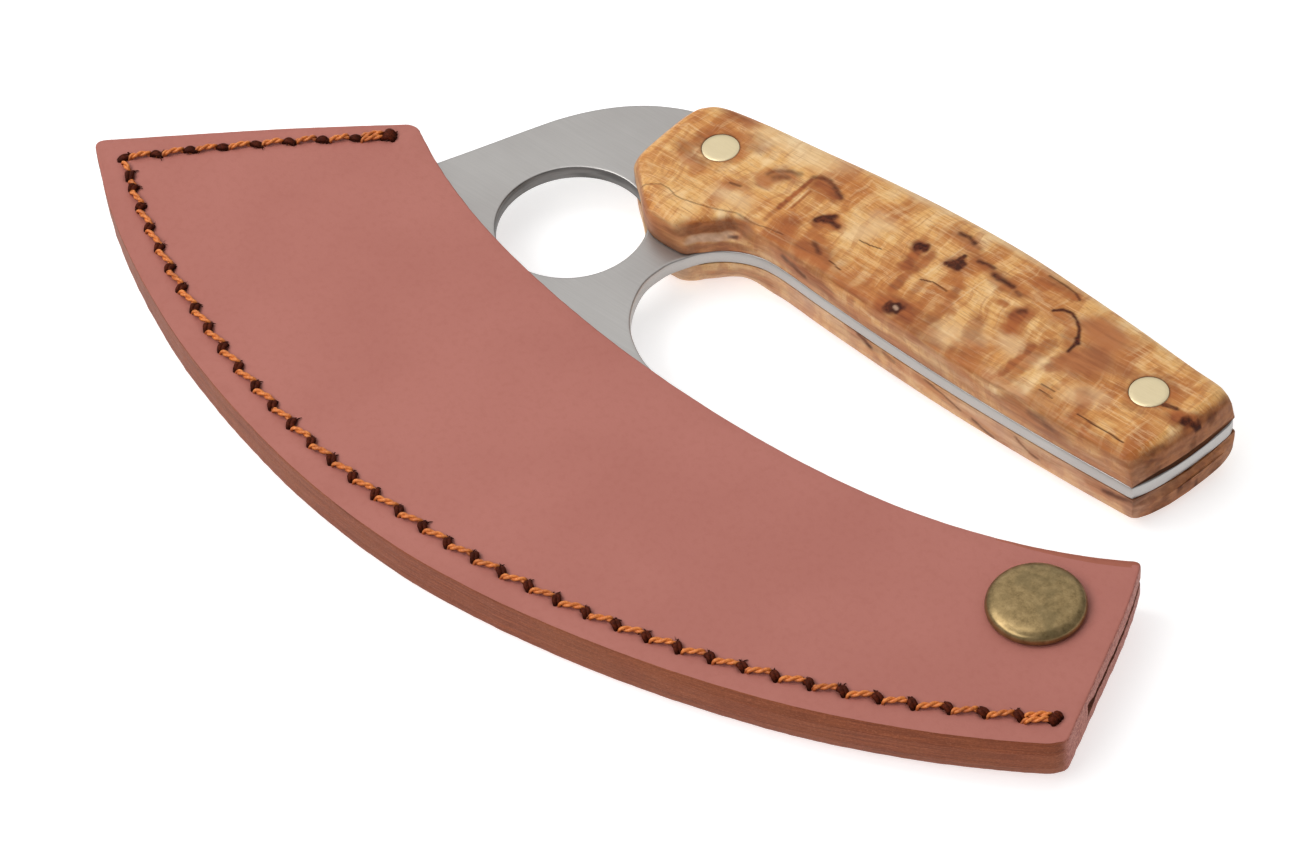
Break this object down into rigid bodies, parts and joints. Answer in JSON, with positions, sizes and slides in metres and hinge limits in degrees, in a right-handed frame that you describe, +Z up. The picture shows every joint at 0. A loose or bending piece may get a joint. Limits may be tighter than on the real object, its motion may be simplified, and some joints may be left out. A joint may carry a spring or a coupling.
{
  "type": "ulu knife",
  "caption": "Crescent-bladed ulu knife with a finger hole and a curly birch handle, lying in a stitched leather sheath closed by a snap.",
  "frame": {"origin": "middle of the bounding box on the table the part lies on", "axes": "+X along the handle towards its rear end, +Y from the cutting edge towards the handle, +Z up"},
  "size_m": [0.1996, 0.1042, 0.016],
  "materials": {
    "steel": "satin brushed",
    "birch": "oiled curly birch",
    "pin_brass": "ground flush",
    "leather": "smooth matte vegetable-tanned",
    "thread_orange": "waxed twisted thread",
    "thread_brown": "waxed twisted thread",
    "snap_brass": "antique brass"
  },
  "bodies": {
    "sheath": {"sheath_back_panel": "leather", "sheath_welt": "leather", "sheath_front_panel": "leather", "stitch_thread_upper": "thread_orange", "stitch_thread_lower": "thread_brown", "snap_stud": "snap_brass", "snap_post": "snap_brass"},
    "snap_flap": {"sheath_snap_flap": "leather", "snap_cap": "snap_brass", "snap_socket": "snap_brass"},
    "knife": {"blade_plate": "steel", "handle_scale_upper": "birch", "handle_scale_lower": "birch", "handle_pin_front": "pin_brass", "handle_pin_rear": "pin_brass"}
  },
  "joints": [
    {"name": "knife_draw", "type": "slide", "parent": "sheath", "child": "knife", "axis": [0.4147, 0.9088, 0.0464], "range_m": [0, 0.065]},
    {"name": "snap_flap_lift", "type": "hinge", "parent": "sheath", "child": "snap_flap", "pos_m": [0.09868, -0.01535, 0.00904], "axis": [0.9701, -0.2422, -0.0124], "range_deg": [0, 35]}
  ]
}
